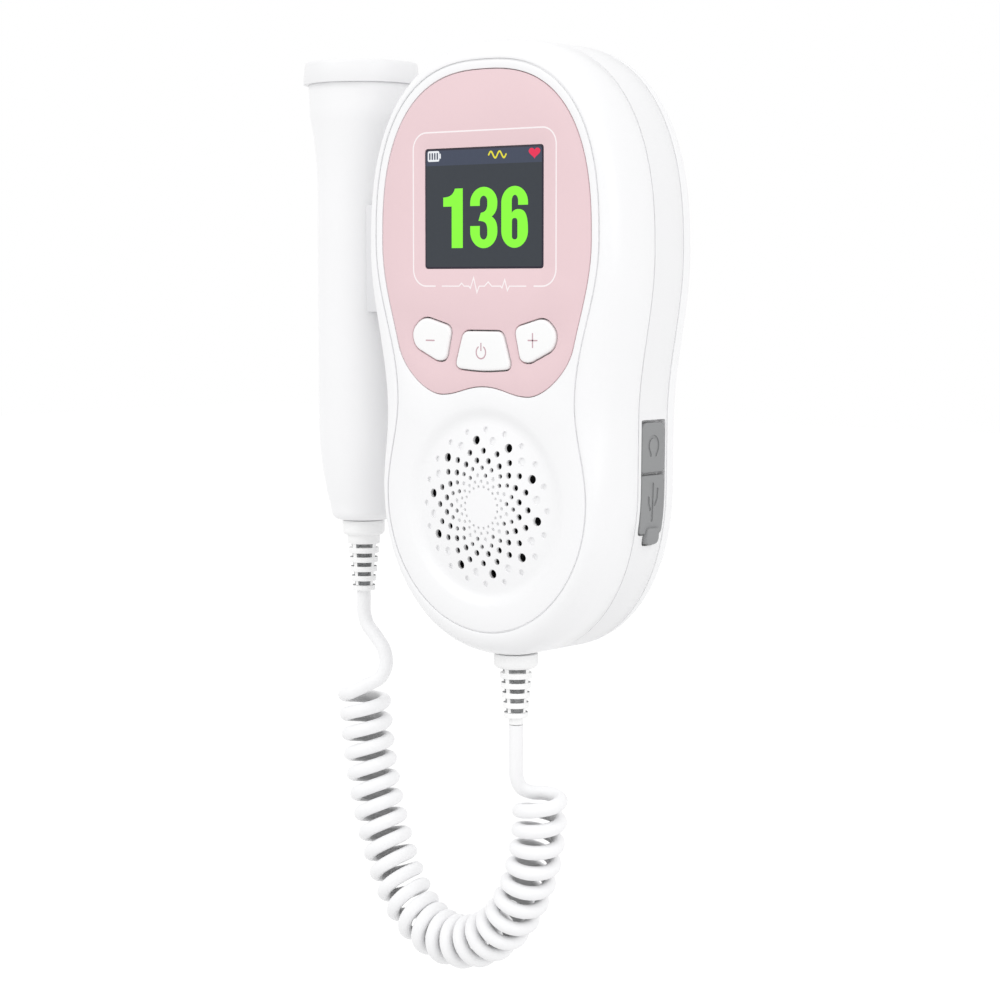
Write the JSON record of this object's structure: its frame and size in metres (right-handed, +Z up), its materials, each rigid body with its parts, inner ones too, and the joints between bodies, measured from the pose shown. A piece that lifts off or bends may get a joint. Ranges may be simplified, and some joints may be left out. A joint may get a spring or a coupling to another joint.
{
  "type": "fetal doppler monitor",
  "caption": "Hand-held ultrasound heartbeat monitor with a colour screen, keys and a loudspeaker, and a probe parked at its side on a curly cord.",
  "frame": {"origin": "centre of the flat back face of the handset", "axes": "+Z up along the handset, +Y out of its back face, +X to the right as seen from the front, which faces -Y"},
  "size_m": [0.1058, 0.0361, 0.2277],
  "materials": {
    "white_shell": "satin moulded",
    "white_frame": "fine matt",
    "rose_plate": "matt printed",
    "window": "clear polished",
    "screen": "dark display",
    "white_key": "satin moulded",
    "grey_rubber": "matt",
    "cord_rubber": "satin",
    "cord_jacket": "satin",
    "steel": "plain",
    "circuit_board": "solder resist",
    "dark_plastic": "matt",
    "foam": "closed-cell foam",
    "cone_paper": "pressed fibre",
    "cell_foil": "foil wrapped",
    "amber_film": "flexible film",
    "lens_resin": "cast resin",
    "ceramic": "sintered"
  },
  "bodies": {
    "handset": {"front_shell": "white_shell", "mid_frame": "white_frame", "rear_shell": "white_shell", "front_panel": "white_shell", "faceplate": "rose_plate", "display_window": "window", "display_glass": "screen", "display_frame": "steel", "display_connector": "amber_film", "main_board": "circuit_board", "processor_chip": "dark_plastic", "audio_chip": "dark_plastic", "speaker_gasket": "foam", "speaker_basket": "steel", "speaker_cone": "cone_paper", "speaker_magnet": "steel", "battery_cell": "cell_foil", "battery_guard_board": "circuit_board", "headphone_jack": "dark_plastic", "usb_socket": "steel", "port_board": "circuit_board", "flap_anchor": "grey_rubber", "probe_cradle": "white_shell", "cord_bushing_unit": "cord_rubber", "tact_switch_minus": "steel", "tact_switch_power": "steel", "tact_switch_plus": "steel", "case_screw_upper_left": "steel", "case_screw_upper_right": "steel", "case_screw_lower_left": "steel", "case_screw_lower_right": "steel", "board_screw_left": "steel", "board_screw_right": "steel", "curly_cord": "cord_jacket"},
    "key_minus": {"button_minus": "white_key", "switch_plunger_minus": "dark_plastic"},
    "key_power": {"button_power": "white_key", "switch_plunger_power": "dark_plastic"},
    "key_plus": {"button_plus": "white_key", "switch_plunger_plus": "dark_plastic"},
    "flap_headphone": {"headphone_flap": "grey_rubber"},
    "flap_usb": {"usb_flap": "grey_rubber"},
    "probe": {"probe_handle": "white_shell", "probe_head": "white_frame", "probe_lens": "lens_resin", "crystal_transmit": "ceramic", "crystal_receive": "ceramic", "crystal_backing": "foam", "probe_board": "circuit_board", "cord_bushing_probe": "cord_rubber"}
  },
  "joints": [
    {"name": "minus_press", "type": "slide", "parent": "handset", "child": "key_minus", "axis": [0, 1, 0], "range_m": [0, 0.0006], "stiffness_N_per_m": 1500},
    {"name": "power_press", "type": "slide", "parent": "handset", "child": "key_power", "axis": [0, 1, 0], "range_m": [0, 0.0006], "stiffness_N_per_m": 1500},
    {"name": "plus_press", "type": "slide", "parent": "handset", "child": "key_plus", "axis": [0, 1, 0], "range_m": [0, 0.0006], "stiffness_N_per_m": 1500},
    {"name": "headphone_flap_swing", "type": "hinge", "parent": "handset", "child": "flap_headphone", "pos_m": [0.0332, -0.01375, -0.0177], "axis": [0, -1, 0], "range_deg": [0, 95], "stiffness_Nm_per_rad": 0.001},
    {"name": "usb_flap_swing", "type": "hinge", "parent": "flap_headphone", "child": "flap_usb", "pos_m": [0.0331, -0.01375, -0.0301], "axis": [0, -1, 0], "range_deg": [0, 90], "stiffness_Nm_per_rad": 0.001},
    {"name": "probe_pull", "type": "slide", "parent": "handset", "child": "probe", "axis": [-1, 0, 0], "range_m": [0, 0.02], "deforming": ["curly_cord"]}
  ]
}
